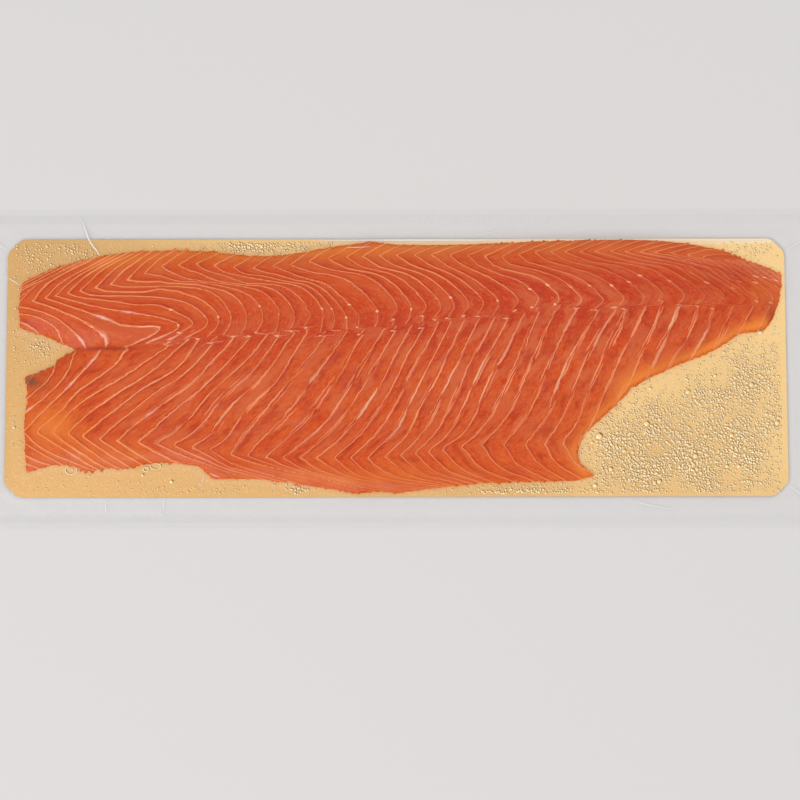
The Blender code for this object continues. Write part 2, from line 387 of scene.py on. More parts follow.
satin_foil = foil_group()
bpy.ops.object.select_all(action="DESELECT")
middle = (BOARD_LOW + BOARD_HIGH) / 2
bpy.ops.mesh.primitive_plane_add(size=1, location=(middle.x, middle.y, BOARD_LOW.z))
bpy.context.object.scale = (BOARD.x, BOARD.y, 1)
board = added("gold_board")
start_edit(board)
bpy.ops.mesh.bevel(offset=BOARD_CORNER, segments=1, affect="VERTICES")
bpy.ops.mesh.select_all(action="SELECT")
bpy.ops.mesh.bevel(offset=CORNER_EASE, segments=6, affect="VERTICES")
bpy.ops.mesh.select_all(action="SELECT")
bpy.ops.mesh.extrude_region_move(TRANSFORM_OT_translate={"value": (0, 0, BOARD.z)})
end_edit()
face_outwards(board)
add_modifier(board, "BEVEL", width=CARD_EDGE, segments=3, limit_method="ANGLE")
for finish in (foil_material("gold_foil", GOLD), card_material(), foil_material("silver_foil", SILVER)):
    board.data.materials.append(finish)
for face in board.data.polygons:
    face.material_index = 0 if face.normal.z > 0.6 else 2 if face.normal.z < -0.6 else 1
only(board)
bpy.ops.object.shade_smooth_by_angle(angle=math.radians(40))
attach(board, "root")
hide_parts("board")

# ---------------------------------------------------------------------------------------------
# The side of salmon: cold smoked flesh in thin slices, laid back in the shape of the whole side
# with its skin side down. Sheets of pale fat part the muscle blocks, and a cut shows them as lines
# that zigzag from back to belly, with a seam along the middle.

FISH_LOW, FISH_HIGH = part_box("salmon_side")
FISH_CELL = 1.2 * MM
EDGE_INSET = 0.35 * MM
RAGGED = 1.0 * MM
SHOULDER = 7 * MM
RIM = 1.6 * MM
THINNEST = 0.7 * MM
# A height well above the whole pack, from which sheets are dropped onto it.
ABOVE_ALL = 0.1

# The relief of the cut face, in millimetres: how far the muscle rises between the fat lines, the
# most that it swells, how far all of it lies under the solid's top, the steps of the knife marks
# and the depth of the crease in the tail.
PILLOW_RISE = 0.36
MOST_SWELL = 0.12
FACE_SINK = 0.45
CUT_STEP = 0.14
CREASE_DEPTH = 1.2

# Knife marks on the nape: how far apart they are in millimetres, and which way they run.
CUT_PITCH = 3.3
CUT_TURN = math.radians(55)

# Flesh and beads lie wet against the film, so that they shine less than in air.
WET_IOR = 1.16

# Tags of flesh on the outline, as (x, y, length, width) in millimetres.
TAGS = [(-229, 89, 3.0, 2.4), (-287, -7, 3.0, 2.6), (-1, -98, 2.2, 2.6), (-33, -98.5, 1.6, 3),
        (-283, -81, 1.6, 3), (-141, -87, 2.2, 3), (283, 28, 1.2, 2), (-170, 91.5, 1.8, 3),
        (-246, 14, -1.2, 3), (-20, 98, 1.2, 5)]

# Lines that run along the side, as (x, y) in millimetres, joined by straight lines.
SEAM = [(-290, 12), (-230, 13.5), (-200, 15), (-160, 21), (-120, 24), (-50, 26), (0, 30), (60, 36),
        (95, 40), (130, 43), (200, 46), (298, 47)]
BACK_POINTS = [(-305, 44), (-293, 48), (-270, 53), (-243, 58.5), (-220, 63), (-206, 67),
               (-194, 71.5), (-181, 77.5), (-154, 79.5), (-115, 75.5), (-78, 79), (-53, 83.5),
               (-14, 85.5), (27, 86), (81, 84), (108, 88), (175, 88), (210, 87), (250, 82), (298, 68)]
BACK_EDGE = [(-289, 66), (-249, 82), (-195, 91), (-119, 89), (-20, 97), (50, 96), (172, 99),
             (238, 94), (298, 74)]
BELLY_POINTS = [(-312, -50), (-285, -50), (-250, -52), (-225, -56.5), (-183, -59.5), (-143, -64),
                (-127, -68.5), (-87, -71), (-20, -71), (4, -69), (37, -65), (66, -61), (150, -60.5)]
BELLY_EDGE = [(-290, -82), (-200, -79), (-140, -87), (-75, -91), (-30, -98), (0, -98), (40, -93),
              (150, -86)]

# Some of the fat lines from tail to head, each by a few of its places, as (x, y) in millimetres.
# A line starts at the seam, runs tailwards to its point, turns there, and ends near the edge. The
# lines between these follow their neighbours. Each is a curve of this many steps from one of its
# places to the next, and past its end it keeps the slant of its last eight steps.
STEPS_BETWEEN = 10
SLANT_FROM = -9
BACK_GUIDES = [
    [(-253, 13), (-262, 30), (-279, 39), (-305, 44), (-275, 64), (-238, 81)],
    [(-237, 14), (-244, 24), (-262, 38), (-293, 48), (-275, 65), (-240, 83)],
    [(-222, 14), (-222, 21), (-233, 31), (-257, 42), (-280, 50), (-267, 65), (-234, 84)],
    [(-208, 14), (-182, 28), (-210, 31), (-240, 42), (-271, 52), (-256, 66), (-222, 86)],
    [(-192, 17), (-166, 30), (-187, 38), (-225, 44), (-262, 54), (-246, 69), (-214, 88)],
    [(-157, 21), (-144, 34), (-160, 48), (-190, 53), (-230, 54), (-243, 58), (-226, 75), (-200, 90)],
    [(-131, 24), (-128, 40), (-141, 56), (-166, 61), (-207, 61), (-220, 63), (-209, 75), (-190, 90)],
    [(-91, 25), (-90, 42), (-102, 56), (-125, 62), (-160, 67), (-181, 77), (-164, 90)],
    [(-57, 26), (-57, 43), (-73, 60), (-97, 65), (-130, 72), (-141, 78), (-124, 88)],
    [(-27, 28), (-32, 41), (-53, 61), (-72, 68), (-95, 77), (-80, 88)],
    [(-3, 30), (0, 46), (-20, 67), (-50, 74), (-66, 81), (-52, 92)],
    [(75, 38), (77, 50), (60, 65), (40, 76), (27, 86), (46, 94)],
    [(156, 44), (158, 52), (141, 70), (117, 80), (95, 88), (112, 96)],
    [(219, 46), (220, 56), (195, 74), (165, 80), (141, 88), (160, 97)],
    [(265, 47), (265, 55), (232, 74), (200, 82), (175, 88), (196, 95)],
    [(302, 47), (300, 57), (268, 73), (236, 81), (210, 87), (232, 93)],
]
BELLY_GUIDES = [
    [(-262, 13), (-267, -9), (-292, -30), (-313, -50), (-283, -69), (-262, -77)],
    [(-246, 13), (-253, -6), (-266, -21), (-283, -34), (-299, -50), (-272, -66), (-250, -78)],
    [(-224, 13), (-236, -1), (-254, -20), (-272, -37), (-285, -50), (-268, -64), (-240, -76)],
    [(-206, 14), (-217, -1), (-243, -21), (-256, -36), (-275, -52), (-254, -65), (-236, -76)],
    [(-168, 19), (-200, -3), (-226, -20), (-246, -35), (-262, -53), (-249, -63), (-230, -75)],
    [(-149, 22), (-167, -1), (-196, -19), (-217, -35), (-240, -54), (-228, -62), (-208, -75)],
    [(-120, 24), (-148, -8), (-167, -23), (-193, -42), (-210, -57), (-198, -66), (-178, -78)],
    [(-97, 25), (-120, -2), (-145, -25), (-165, -50), (-183, -60), (-163, -69), (-136, -79)],
    [(-68, 26), (-91, -11), (-113, -32), (-130, -55), (-143, -64), (-125, -75), (-96, -84)],
    [(-51, 26), (-71, 0), (-94, -28), (-115, -52), (-126, -69), (-100, -77), (-62, -85)],
    [(-8, 29), (-33, -12), (-48, -35), (-66, -53), (-87, -70), (-65, -81), (-20, -91)],
    [(53, 35), (33, -4), (21, -28), (10, -50), (-9, -70), (10, -84), (40, -91)],
    [(98, 40), (78, 2), (63, -32), (50, -55), (35, -66), (50, -81), (72, -90)],
    [(122, 42), (103, 0), (86, -36), (65, -61), (79, -78), (106, -89)],
    [(156, 44), (132, 2), (118, -33), (98, -60), (107, -74), (128, -87)],
    [(178, 45), (162, 12), (149, -20), (137, -50), (128, -62), (137, -75), (150, -84)],
    [(246, 47), (237, 24), (226, 5), (200, -40), (186, -60), (204, -80)],
    [(302, 47), (289, 24), (278, 5), (252, -40), (238, -60), (256, -80)],
]
# How many fat lines of the back and of the belly have met the seam by each place along it.
BACK_COUNT = [(-333, -6), (-237, 0), (-192, 3), (-157, 5), (-91, 10), (-57, 13), (-27, 16), (-3, 18),
              (75, 25), (156, 30), (219, 34), (265, 37), (302, 40), (340, 43)]
BELLY_COUNT = [(-333, -6), (-246, 0), (-206, 2), (-168, 3), (-149, 5), (-97, 9), (-68, 12), (-51, 13),
               (-8, 16), (53, 22), (122, 28), (156, 30), (178, 32), (246, 37), (302, 41), (340, 44)]

# The cut behind the collar, as (x, y) in millimetres, closed round the flesh that it took away.
COLLAR_CUT = [(150, -86), (139, -66), (160, -38), (180, -18), (222, 3), (266, 26), (292, 36),
              (400, 36), (400, -200), (150, -200)]

# Soft oval spots, as (x, y, reach in x, reach in y, more) in millimetres: the crease in the tail,
# which is sunk and has painted shade, and a darker spot in the head end, the cuts on the nape and
# at the tail's corner, the frayed stretches of the outline, and the stretches where the rim is thin.
TAIL_CREASE = [(-222, 14, 24, 1.6, 1)]
HEAD_END_DARK = [(291, 37, 6, 9, 0.95)]
NAPE = [(258, 68, 42, 13, 1)]
TAIL_CORNER = [(-262, 74, 26, 7, 0.35)]
FRAYED = [(-228, -80, 30, 9, 1), (-140, 91, 60, 6, 0.5), (255, 86, 45, 14, 1)]
THIN_RIM = [(-262, -44, 17, 15, 0.65), (185, -10, 26, 12, 0.3), (-225, -70, 60, 11, 0.45),
            (-70, -86, 160, 8, 0.36), (-225, 84, 50, 8, 0.6), (-60, 92, 140, 7, 0.72),
            (-120, 87, 45, 6, 0.45), (90, 94, 110, 6, 0.25), (230, 88, 60, 7, 0.15)]

# What the flesh shows more in some places than in others, from 0 to 1: how much of it there is
# all over, and soft oval spots of it. They are the loin's dark red, pink muscle, how bold the fat
# lines are, a painted sheen on a few fat lines, the brown smudge on the tail's cut, broad and
# stray strokes of fat, and the fine line that joins the seam's knots.
UNEVENLY_SHOWN = {
    "loin": (0, [
        (170, 62, 95, 16, 0.9), (-60, 52, 90, 14, 0.35), (60, 60, 70, 12, 0.45), (-205, 46, 30, 9, 0.25),
        (-30, 27, 100, 13, 0.7), (95, 36, 110, 18, 0.8), (-125, 17, 60, 13, 0.5), (-140, 64, 60, 9, 0.15),
        (190, 33, 50, 12, 0.4)]),
    "pink": (0.35, [
        (90, 10, 110, 30, 0.5), (-90, -20, 110, 35, 0.3), (150, 52, 60, 18, 0.4), (40, -84, 200, 14, -0.85),
        (-260, -40, 40, 30, -0.5)]),
    "boldness": (0.69, [
        (-240, 50, 80, 40, 0.04), (-240, -30, 70, 50, 0.25), (-70, 37, 90, 9, -0.4),
        (50, 46, 80, 10, -0.3), (190, 58, 70, 14, -0.35), (180, 76, 90, 10, -0.25),
        (265, 62, 40, 30, -0.5), (60, -70, 110, 20, -0.1), (-20, -22, 130, 30, -0.35),
        (-130, -50, 80, 30, -0.18), (190, 16, 70, 26, -0.2), (-262, -44, 15, 14, -0.4),
        (-225, 78, 45, 9, 0.15), (-110, 66, 110, 24, -0.12), (150, 88, 110, 12, -0.2),
        (-60, -85, 160, 9, -0.3), (-5, -92, 26, 8, -0.4)]),
    "painted_sheen": (0, [
        (-226, 37, 9, 2.5, 1), (-205, 41, 5, 2, 0.9), (-242, 20, 4, 5, 0.9), (-224, 22, 3, 5, 0.9),
        (-232, 4, 6, 6, 0.9), (-248, -14, 5, 5, 0.9), (-185, -37, 6, 4, 0.8), (-282, -32, 4, 3, 0.8),
        (-280, -72, 5, 4, 0.4), (-245, -68, 6, 4, 0.3), (-175, 20, 18, 3, 0.6)]),
    "smudge": (0, [(-280, -11, 4.5, 4, 0.9), (-272, -14, 9, 7, 0.25)]),
    "streaky": (0.05, [
        (-70, -28, 130, 26, 0.8), (60, -12, 90, 26, 0.7), (160, 8, 60, 24, 0.7), (230, 26, 30, 12, 0.6),
        (200, 36, 55, 11, 0.6), (-230, 32, 40, 14, 0.35)]),
    "joined": (0, [(-118, 23, 55, 8, 1)]),
}


def read_table(table, x):
    """Values read from (x, value) pairs, in straight lines between neighbours."""
    return np.interp(x, *zip(*table))


def merged_copy(name):
    """A copy of a CAD node with its loose triangles joined."""
    only(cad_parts[name])
    bpy.ops.object.duplicate()
    copy = bpy.context.object
    start_edit(copy)
    bpy.ops.mesh.remove_doubles(threshold=0.01 * MM)
    end_edit()
    return copy


def remove(obj):
    bpy.data.objects.remove(obj, do_unlink=True)


def foot_outline(solid):
    """The corners of the solid's flat underside in order, anticlockwise from above."""
    mesh = bmesh.new()
    mesh.from_mesh(solid.data)
    under = {face for face in mesh.faces if face.normal.z < -0.99}
    following = {}
    for face in under:
        for loop in face.loops:
            if not all(other in under for other in loop.edge.link_faces):
                following[loop.link_loop_next.vert.index] = loop.vert.index
    order = [next(iter(following))]
    while following[order[-1]] != order[0]:
        order.append(following[order[-1]])
    mesh.verts.ensure_lookup_table()
    outline = np.array([mesh.verts[number].co[:2] for number in order])
    mesh.free()
    return outline


def finer(loop, parts, smoothing=0):
    """A closed loop with each side divided into this many parts, and then smoothed."""
    share = (np.arange(parts) / parts)[:, None]
    fine = (loop[:, None] * (1 - share) + np.roll(loop, -1, 0)[:, None] * share).reshape(-1, 2)
    for _ in range(smoothing):
        fine = (np.roll(fine, 1, 0) + 2 * fine + np.roll(fine, -1, 0)) / 4
    return fine


def inward(loop):
    """The level direction into the loop at each of its points."""
    run = np.roll(loop, -1, 0) - np.roll(loop, 1, 0)
    return np.stack([-run[:, 1], run[:, 0]], axis=1) / np.linalg.norm(run, axis=1)[:, None]


def ragged_outline(solid):
    """The side's outline as the knife and the smoke leave it: nicked, frayed, with a few tags."""
    loop = finer(foot_outline(solid), 8, 5)
    x, y = loop.T
    torn = eased(uneven(x, y, 40 * MM, 22) + 1.2 * (x < -0.12), -0.2, 0.9)
    frayed = patches(x / MM, y / MM, 0, FRAYED)
    thorns = np.clip(uneven(x, y, 2.7 * MM, 21), 0, 1.4) ** 1.5 - 0.4 * np.abs(uneven(x, y, 6 * MM, 24))
    fringe = uneven(x, y, 1.5 * MM, 25)
    nicked = eased(uneven(x, y, 7 * MM, 23), 0.8, 1.8)
    out = (0.4 + 0.5 * torn + 1.0 * frayed) * thorns + (0.12 + 0.16 * torn + 0.2 * frayed) * fringe
    out = RAGGED * (out - 0.8 * nicked) - EDGE_INSET
    for tag_x, tag_y, length, width in TAGS:
        away = np.hypot(x - tag_x * MM, y - tag_y * MM)
        out += length * MM * np.clip(1 - away / (width * MM), 0, 1) ** 1.5
    return finer(loop - inward(loop) * out[:, None], 3, 1)


class Outline:
    """Finds how far places are inside a closed loop of closely spaced points."""

    def __init__(self, loop):
        self.loop = loop
        self.tree = kdtree.KDTree(len(loop))
        for number, (x, y) in enumerate(loop):
            self.tree.insert((x, y, 0), number)
        self.tree.balance()

    def measure(self, places):
        """Each place's depth inside the loop, and the loop's nearest point."""
        nearest = np.array([self.tree.find((x, y, 0))[1] for x, y in places])
        away = np.linalg.norm(places - self.loop[nearest], axis=1)
        return np.where(self.holds(places), away, -away), self.loop[nearest]

    def holds(self, places):
        """Whether each place is inside: a line to its right crosses the loop an odd number of times."""
        (ax, ay), (bx, by) = self.loop.T, np.roll(self.loop, -1, 0).T
        inside = np.zeros(len(places), dtype=bool)
        rows = np.round(places[:, 1], 4) + 1e-6
        for level in np.unique(rows):
            crossing = (ay > level) != (by > level)
            share = (level - ay[crossing]) / (by[crossing] - ay[crossing])
            crossings = np.sort(ax[crossing] + share * (bx[crossing] - ax[crossing]))
            row = rows == level
            inside[row] = np.searchsorted(crossings, places[row, 0]) % 2 == 1
        return inside


def depths_of_faces(sheet, outline):
    """How deep inside the outline each face lies, as the mean of its corners."""
    depth, _ = outline.measure(places_of(sheet)[:, :2])
    return np.array([depth[face.vertices].mean() for face in sheet.data.polygons])


def select_faces(obj, chosen):
    """Goes into edit mode with just these faces selected."""
    start_edit(obj, "FACE", "DESELECT")
    end_edit()
    obj.data.polygons.foreach_set("select", np.array(chosen, dtype=bool))
    bpy.ops.object.mode_set(mode="EDIT")


def select_rim(obj):
    """Goes into edit mode with just the open edges selected."""
    start_edit(obj, "EDGE", "DESELECT")
    bpy.ops.mesh.select_non_manifold(extend=False)


def selected_places(obj):
    """Whether each vertex is selected."""
    chosen = np.zeros(len(obj.data.vertices), dtype=bool)
    obj.data.vertices.foreach_get("select", chosen)
    return chosen


def trimmed(sheet, outline):
    """Divides a sheet's faces along the outline, deletes those outside it, and draws the rim onto
    the outline."""
    select_faces(sheet, np.abs(depths_of_faces(sheet, outline)) < 1.5 * MM)
    bpy.ops.mesh.subdivide(number_cuts=1)
    end_edit()
    select_faces(sheet, depths_of_faces(sheet, outline) < 0)
    bpy.ops.mesh.delete(type="FACE")
    end_edit()
    select_rim(sheet)
    end_edit()
    rim = selected_places(sheet)
    places = places_of(sheet)
    places[rim, :2] = outline.measure(places[rim, :2])[1]
    move_to(sheet, places)


def laid_on(sheet, solid, rim_level, smoothing, depth):
    """Drops a sheet onto the solid's top, and smooths its facets away from the rim. What falls
    just beside the solid lies at the level of its rim."""
    places = places_of(sheet)
    places[:, 2] = ABOVE_ALL
    move_to(sheet, places)
    add_modifier(
        sheet,
        "SHRINKWRAP",
        target=solid,
        wrap_method="PROJECT",
        use_project_z=True,
        use_negative_direction=True,
        use_positive_direction=False,
    )
    places = places_of(sheet)
    places[places[:, 2] > ABOVE_ALL * 0.9, 2] = rim_level
    move_to(sheet, places)
    group = sheet.vertex_groups.new(name="away_from_rim")
    weights = eased(depth, 0, SHOULDER)
    for number, weight in enumerate(weights):
        group.add([number], float(weight), "REPLACE")
    add_modifier(
        sheet,
        "SMOOTH",
        factor=0.5,
        iterations=smoothing,
        use_x=False,
        use_y=False,
        vertex_group=group.name,
    )
    sheet.vertex_groups.clear()


def share_across(x, y):
    """How far across the side a place lies: 0 on the seam, 1 and -1 at the lines' points, and 2
    and -2 at the edges."""
    seam, back_point, back_edge = (read_table(t, x) for t in (SEAM, BACK_POINTS, BACK_EDGE))
    belly_point, belly_edge = (read_table(t, x) for t in (BELLY_POINTS, BELLY_EDGE))
    up = np.clip((y - seam) / (back_point - seam), 0, 1)
    up = up + np.clip((y - back_point) / (back_edge - back_point), 0, 1.4)
    down = np.clip((seam - y) / (seam - belly_point), 0, 1)
    down = down + np.clip((belly_point - y) / (belly_point - belly_edge), 0, 1.4)
    return np.where(y > seam, up, -down)


def through(points):
    """A smooth curve through these points, as closely spaced places."""
    points = np.array(points, dtype=float)
    points = np.vstack([2 * points[0] - points[1], points, 2 * points[-1] - points[-2]])
    before, start, end, after = (points[k : len(points) - 3 + k, None] for k in range(4))
    t = np.linspace(0, 1, STEPS_BETWEEN, endpoint=False)[:, None]
    bent = (2 * before - 5 * start + 4 * end - after) * t**2
    bent = bent + (3 * start - before - 3 * end + after) * t**3
    curve = start + 0.5 * (end - before) * t + 0.5 * bent
    return np.vstack([curve.reshape(-1, 2), points[-2]])


def between_guides(guides, x, share):
    """Where the fat line through each place starts on the seam, read between the guides."""
    starts, runs = [], []
    for guide in guides:
        tip = guide.index(min(guide))
        out, back = through(guide[: tip + 1]), through(guide[tip:])
        out_share, back_share = np.abs(share_across(*out.T)), np.abs(share_across(*back.T))
        shares = np.concatenate([out_share / out_share[-1], 1 + back_share - back_share[0]])
        shares = np.maximum.accumulate(shares) + np.arange(len(shares)) * 1e-6
        reach = np.concatenate([out[:, 0], back[:, 0]])
        slant = (reach[-1] - reach[SLANT_FROM]) / max(shares[-1] - shares[SLANT_FROM], 0.02)
        reach_out = reach[-1] + slant * (3 - shares[-1])
        starts.append(guide[0][0])
        runs.append(np.interp(share, np.append(shares, 3), np.append(reach, reach_out)))
    start = starts[0] + x - runs[0]
    for k in range(len(guides) - 1):
        part = np.minimum((x - runs[k]) / np.maximum(runs[k + 1] - runs[k], 0.5), 1)
        start = np.where(x > runs[k], starts[k] + part * (starts[k + 1] - starts[k]), start)
    return np.where(x > runs[-1], starts[-1] + x - runs[-1], start)


def fat_lines(x, y, in_back):
    """Which fat line each place lies on, as a number that is whole on a line."""
    share = np.abs(share_across(x, y))
    stray = 0.5 * uneven(x, y, 34, 31) + 0.12 * uneven(x, y, 7, 32)
    back = read_table(BACK_COUNT, between_guides(BACK_GUIDES, x, share) + stray)
    belly = read_table(BELLY_COUNT, between_guides(BELLY_GUIDES, x, share) + stray)
    return np.where(in_back, back, belly)


def patches(x, y, base, spots):
    """A value over the side: a base, and soft oval spots of (x, y, reach in x, reach in y, more)."""
    total = np.full_like(x, base)
    for sx, sy, rx, ry, more in spots:
        total += more * np.exp(-(((x - sx) / rx) ** 2) - ((y - sy) / ry) ** 2)
    return np.clip(total, 0, 1)


salmon_cad = merged_copy("salmon_side")
fish_outline = Outline(ragged_outline(salmon_cad))
flesh = add_grid("salmon_flesh", FISH_LOW, FISH_HIGH, FISH_CELL)
trimmed(flesh, fish_outline)
depth, _ = fish_outline.measure(places_of(flesh)[:, :2])
laid_on(flesh, salmon_cad, FISH_LOW.z + RIM, 40, depth)
remove(salmon_cad)

places = places_of(flesh)
x, y = places[:, 0] / MM, places[:, 1] / MM
in_back = share_across(x, y) > 0
number = fat_lines(x, y, in_back)
step = 0.2
slope_x = (fat_lines(x + step, y, in_back) - fat_lines(x - step, y, in_back)) / (2 * step)
slope_y = (fat_lines(x, y + step, in_back) - fat_lines(x, y - step, in_back)) / (2 * step)
pitch = 1 / np.clip(np.hypot(slope_x, slope_y), 0.07, 0.8)
depth_mm = depth / MM

side = number - np.round(number)
pillow = np.minimum(pitch / 12, 1) * (1 - 4 * side**2)
swell = 0.35 * uneven(x, y, 24, 41) + 0.12 * uneven(x, y, 9, 42)
nape_cuts = patches(x, y, 0, NAPE)
cut_run = x * math.cos(CUT_TURN) + y * math.sin(CUT_TURN)
steps = (cut_run / CUT_PITCH) % 1
# The crease is sunk into the flesh, and the same mask gives its painted shade.
crease_and_painted_shade = patches(x, y, 0, TAIL_CREASE)
relief = PILLOW_RISE * pillow + np.minimum(swell, MOST_SWELL) - FACE_SINK
relief = relief + CUT_STEP * nape_cuts * steps - CREASE_DEPTH * crease_and_painted_shade
places[:, 2] += relief * MM * eased(depth_mm, 0.2, 4)
places[:, 2] = np.maximum(places[:, 2], FISH_LOW.z + THINNEST)
move_to(flesh, places)

collar = Outline(finer(np.array(COLLAR_CUT, dtype=float), 60))
to_collar = np.abs(collar.measure(np.stack([x, y], axis=1))[0])
collar_rim = np.exp(-((to_collar / (8 - 2.5 * eased(x, 190, 235))) ** 2))
head_slice = eased(x, 271, 275) * eased(y, 42, 50) * (1 - eased(y, 66, 74))
for name, (base, spots) in UNEVENLY_SHOWN.items():
    note(flesh, name, patches(x, y, base, spots))
note(flesh, "line_number", number)
note(flesh, "line_pitch", pitch)
note(flesh, "depth", depth_mm)
note(flesh, "off_seam", y - read_table(SEAM, x))
note(flesh, "thin_rim", np.clip(collar_rim + 0.2 * head_slice + patches(x, y, 0, THIN_RIM), 0, 1))
# Painted shade in the tail's crease, and a darker spot in the head end.
note(flesh, "crease_and_painted_shade", crease_and_painted_shade + patches(x, y, 0, HEAD_END_DARK))
note(flesh, "nape_cuts", nape_cuts + patches(x, y, 0, TAIL_CORNER))
note(flesh, "cut_run", cut_run)
note(flesh, "knotted", eased(x, -190, -170) * (1 - 0.3 * eased(x, 120, 260)))

select_rim(flesh)
for _ in range(2):
    bpy.ops.mesh.extrude_region_move(TRANSFORM_OT_translate={"value": (0, 0, -0.5 * MM)})
bpy.ops.transform.resize(value=(1, 1, 0))
bpy.ops.mesh.edge_face_add()
end_edit()
places = places_of(flesh)
places[selected_places(flesh), 2] = FISH_LOW.z
move_to(flesh, places)
face_outwards(flesh)
bpy.ops.object.shade_smooth_by_angle(angle=math.radians(60))


def place_at(tree, *values):
    """A place with these coordinates."""
    return node(tree, "ShaderNodeCombineXYZ", enumerate(values)).outputs[0]


def drawn_for(tree, place):
    """Three numbers from 0 to 1 that are drawn anew for each whole place."""
    drawn = node(tree, "ShaderNodeTexWhiteNoise", {"Vector": place}).outputs["Color"]
    return node(tree, "ShaderNodeSeparateColor", {"Color": drawn}).outputs


def near_zero(tree, value, low, high, most=1.0):
    """This much where a value is less than low from zero, fading to nothing at high from zero."""
    return spread(tree, maths(tree, "ABSOLUTE", value), low, high, most, 0.0)


def nearest_line(tree, lines):
    """The number of the fat line that a place is nearest to."""
    return maths(tree, "FLOOR", maths(tree, "ADD", lines, 0.5))


def along_lines(tree, lines, along, often, length, layer=0.0):
    """Places for a pattern that follows the fat lines, with features this long in millimetres and
    this many from one line to the next."""
    return place_at(tree, times(tree, lines, often), divided(tree, along, length), layer)


def coated(tree, tone, *coats):
    """A tone with coats of colour laid over it in turn, each given as how much of it and what."""
    for amount, colour in coats:
        tone = tinted(tree, amount, tone, colour)
    return tone


def stroke_group():
    """One stroke of fat after another along each fat line: every stroke has a width, a slant and
    a place of its own, and narrows to its ends. Line numbers come in, and lengths are millimetres."""
    inputs = ("Number", "Pitch", "Along", "Length", "Shift", "Ends", "Thin", "Thick", "Softness", "Seed")
    outputs = ("Stroke", "Side", "Chance")
    group, given = new_group("fat_stroke", dict.fromkeys(inputs, "Float"), dict.fromkeys(outputs, "Float"))
    index = nearest_line(group, given["Number"])
    first = place_at(group, index, given["Seed"])
    start = node(group, "ShaderNodeTexWhiteNoise", {"Vector": first}).outputs["Value"]
    run = maths(group, "ADD", divided(group, given["Along"], given["Length"]), start)
    part = maths(group, "FRACT", run)
    chance = drawn_for(group, place_at(group, index, maths(group, "FLOOR", run), given["Seed"]))
    moved = times(group, minus(group, chance[0], 0.5), given["Shift"])
    slant = times(group, minus(group, chance[1], 0.5), minus(group, part, 0.5))
    beside = minus(group, minus(group, given["Number"], index), moved)
    beside = times(group, times(group, slant, -0.6), given["Shift"], plus=beside)
    side = times(group, beside, given["Pitch"])
    taper = times(group, spread(group, part, 0.0, 0.22), spread(group, part, 0.6, 1.0, 1.0, 0.0))
    taper = times(group, minus(group, taper, 1.0), given["Ends"], plus=1.0)
    bold = maths(group, "POWER", chance[2], 3.0)
    width = times(group, minus(group, given["Thick"], given["Thin"]), bold, plus=given["Thin"])
    width = times(group, width, taper)
    fading = maths(group, "ADD", width, given["Softness"])
    line = near_zero(group, side, times(group, width, 0.5), fading)
    line = times(group, line, spread(group, taper, 0.0, 0.3))
    node(group, "NodeGroupOutput", {"Stroke": line, "Side": side, "Chance": chance[2]})
    return group


